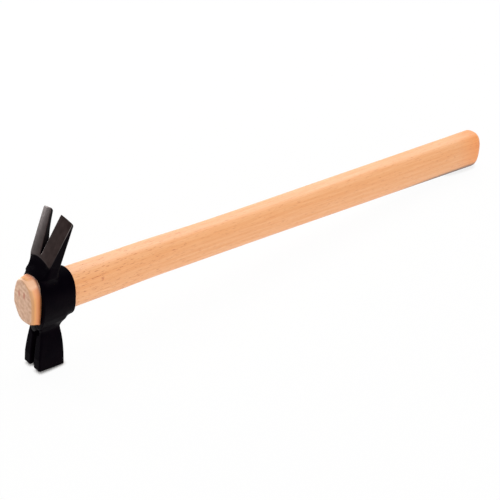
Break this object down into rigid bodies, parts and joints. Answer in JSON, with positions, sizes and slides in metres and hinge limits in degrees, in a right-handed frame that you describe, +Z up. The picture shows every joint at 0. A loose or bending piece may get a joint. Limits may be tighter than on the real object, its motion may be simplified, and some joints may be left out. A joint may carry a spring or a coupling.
{
  "type": "carpenters hammer",
  "caption": "Carpenter's hammer: black forged head with splayed nail-pulling claws, square striking block with a magnetic nail-starter groove, and a straight beech handle.",
  "frame": {"origin": "centre of the bounding box at its lowest level: the surface that the hammer stands on", "axes": "+X runs along the handle from the head to the end of the grip, +Y runs across the hammer, +Z is up with the claws on top and the striking face below"},
  "size_m": [0.4618, 0.0346, 0.1238],
  "materials": {
    "forged_steel": "black lacquer over forged steel, satin, with the claw faces ground bare",
    "beech": "smooth sanded beech with a light wax, sawn and eased at the head end",
    "magnet_steel": "plain rod magnet, dull ground end"
  },
  "bodies": {
    "root": {"head": "forged_steel", "handle": "beech", "nail_magnet": "magnet_steel"}
  },
  "joints": []
}
